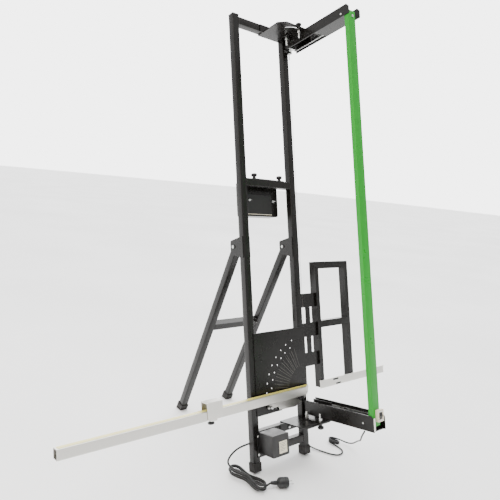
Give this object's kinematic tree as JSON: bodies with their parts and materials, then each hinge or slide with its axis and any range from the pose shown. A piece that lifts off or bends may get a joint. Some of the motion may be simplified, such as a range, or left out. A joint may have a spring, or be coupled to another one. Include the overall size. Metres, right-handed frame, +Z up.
{
  "type": "hot-wire foam board cutter",
  "caption": "Leaning hot-wire cutter for insulation boards with a sliding, swivelling wire bow, tilting guide rail, index plate, side board rest, folding rear legs and mains transformer.",
  "frame": {"origin": "middle of the footprint at floor level, measured without the cords", "axes": "+X along the guide rail towards the wire side, +Y to the back where the legs are, +Z up; the front faces -Y and the frame leans back 14 degrees"},
  "size_m": [1.531, 0.9075, 1.7798],
  "materials": {
    "black_paint": "glossy black powder coat",
    "green_paint": "satin green powder coat",
    "aluminium": "mill-finished extruded aluminium",
    "zinc": "bright zinc-plated steel",
    "wire": "bare resistance wire, slightly heat-tinted",
    "black_plastic": "moulded black plastic, fine satin texture",
    "beige_plastic": "moulded beige plastic",
    "rubber": "moulded black rubber",
    "cable": "black flexible cord jacket"
  },
  "bodies": {
    "frame": {"upright_left": "black_paint", "upright_right": "black_paint", "top_tube": "black_paint", "mid_tube": "black_paint", "low_tube_upper": "black_paint", "low_tube_lower": "black_paint", "cap_left": "black_plastic", "cap_right": "black_plastic", "foot_left": "rubber", "foot_right": "rubber", "top_bracket": "black_paint", "bottom_bracket": "black_paint", "index_plate": "black_paint", "accessory_box": "black_paint", "transformer": "black_plastic", "hinge_bracket_left": "black_paint", "hinge_bracket_right": "black_paint", "hinge_bolt_left": "zinc", "hinge_bolt_right": "zinc", "pivot_bolt_top": "zinc", "pivot_bolt_bottom": "zinc", "side_frame": "black_paint", "side_bracket": "black_paint", "side_ledge": "aluminium", "mains_run": "cable", "mains_hank": "cable", "plug": "black_plastic", "lead_run": "cable", "lead_coil": "cable", "lead_rise": "cable"},
    "legs": {"leg_left": "black_paint", "leg_right": "black_paint", "leg_crossbar": "black_paint", "leg_foot_left": "rubber", "leg_foot_right": "rubber"},
    "catch": {"leg_catch": "zinc"},
    "upper_swing": {"upper_guide": "black_paint", "slide_outer_top": "zinc"},
    "lower_swing": {"lower_guide": "black_paint", "slide_outer_bottom": "zinc"},
    "upper_slide_middle": {"slide_mid_top": "zinc"},
    "lower_slide_middle": {"slide_mid_bottom": "zinc"},
    "bow": {"upper_arm": "black_paint", "lower_arm": "black_paint", "bow_post": "green_paint", "hot_wire": "wire", "wire_anchor_top": "zinc", "wire_anchor_bottom": "zinc", "switch_box": "beige_plastic"},
    "rocker": {"switch_rocker": "black_plastic"},
    "guide_rail": {"rail": "aluminium", "rail_bracket": "aluminium"},
    "index_pin": {"index_bolt": "zinc"},
    "stop": {"stop_block": "aluminium"},
    "stop_clamp": {"stop_knob": "black_plastic"},
    "rail_clamp": {"rail_knob": "black_plastic"},
    "top_lock": {"lock_knob_top": "black_plastic"},
    "bottom_lock": {"lock_knob_bottom": "black_plastic"},
    "box_knob_left": {"storage_knob_left": "black_plastic"},
    "box_knob_right": {"storage_knob_right": "black_plastic"}
  },
  "joints": [
    {"name": "legs_fold", "type": "hinge", "parent": "frame", "child": "legs", "pos_m": [0.1065, 0.12021, 0.82744], "axis": [1, 0, 0], "range_deg": [-34.8, 0]},
    {"name": "catch_swing", "type": "hinge", "parent": "legs", "child": "catch", "pos_m": [0.1825, 0.23804, 0.44966], "axis": [1, 0, 0], "range_deg": [0, 40]},
    {"name": "bow_swivel", "type": "hinge", "parent": "frame", "child": "upper_swing", "pos_m": [0.2185, 0.24432, 1.7055], "axis": [0, -0.2419, -0.9703], "range_deg": [0, 45]},
    {"name": "lower_swivel", "type": "hinge", "parent": "frame", "child": "lower_swing", "pos_m": [0.2185, -0.14009, 0.1637], "axis": [0, -0.2419, -0.9703], "range_deg": [0, 45]},
    {"name": "bow_slide", "type": "slide", "parent": "upper_swing", "child": "bow", "axis": [0, -0.9703, 0.2419], "range_m": [0, 0.3]},
    {"name": "upper_middle_slide", "type": "slide", "parent": "upper_swing", "child": "upper_slide_middle", "axis": [0, -0.9703, 0.2419], "range_m": [0, 0.15]},
    {"name": "lower_middle_slide", "type": "slide", "parent": "lower_swing", "child": "lower_slide_middle", "axis": [0, -0.9703, 0.2419], "range_m": [0, 0.15]},
    {"name": "switch_rock", "type": "hinge", "parent": "bow", "child": "rocker", "pos_m": [0.2645, -0.44335, 0.30733], "axis": [1, 0, 0], "range_deg": [0, 12]},
    {"name": "rail_tilt", "type": "hinge", "parent": "frame", "child": "guide_rail", "pos_m": [0.2455, -0.09093, 0.27408], "axis": [0, 0.9703, -0.2419], "range_deg": [0, 75]},
    {"name": "index_pull", "type": "slide", "parent": "guide_rail", "child": "index_pin", "axis": [0, -0.9703, 0.2419], "range_m": [-0.003, 0.008]},
    {"name": "stop_slide", "type": "slide", "parent": "guide_rail", "child": "stop", "axis": [1, 0, 0], "range_m": [-0.45, 0.2]},
    {"name": "stop_clamp_turn", "type": "hinge", "parent": "stop", "child": "stop_clamp", "pos_m": [-0.2415, -0.11759, 0.24775], "axis": [0, 0.2419, 0.9703], "continuous": true},
    {"name": "rail_clamp_turn", "type": "hinge", "parent": "guide_rail", "child": "rail_clamp", "pos_m": [0.1975, -0.10934, 0.24569], "axis": [0, 0.9703, -0.2419], "continuous": true},
    {"name": "top_lock_turn", "type": "hinge", "parent": "upper_swing", "child": "top_lock", "pos_m": [0.2185, 0.17155, 1.72364], "axis": [0, 0.2419, 0.9703], "continuous": true},
    {"name": "bottom_lock_turn", "type": "hinge", "parent": "lower_swing", "child": "bottom_lock", "pos_m": [0.2185, -0.21287, 0.18184], "axis": [0, 0.2419, 0.9703], "continuous": true},
    {"name": "box_knob_left_turn", "type": "hinge", "parent": "frame", "child": "box_knob_left", "pos_m": [0.0415, 0.14234, 1.11049], "axis": [0, 0.2419, 0.9703], "continuous": true},
    {"name": "box_knob_right_turn", "type": "hinge", "parent": "frame", "child": "box_knob_right", "pos_m": [0.1745, 0.14234, 1.11049], "axis": [0, 0.2419, 0.9703], "continuous": true}
  ],
  "couplings": [
    {"joint": "lower_swivel", "follows": "bow_swivel", "ratio": 1},
    {"joint": "upper_middle_slide", "follows": "bow_slide", "ratio": 0.5},
    {"joint": "lower_middle_slide", "follows": "bow_slide", "ratio": 0.5}
  ]
}
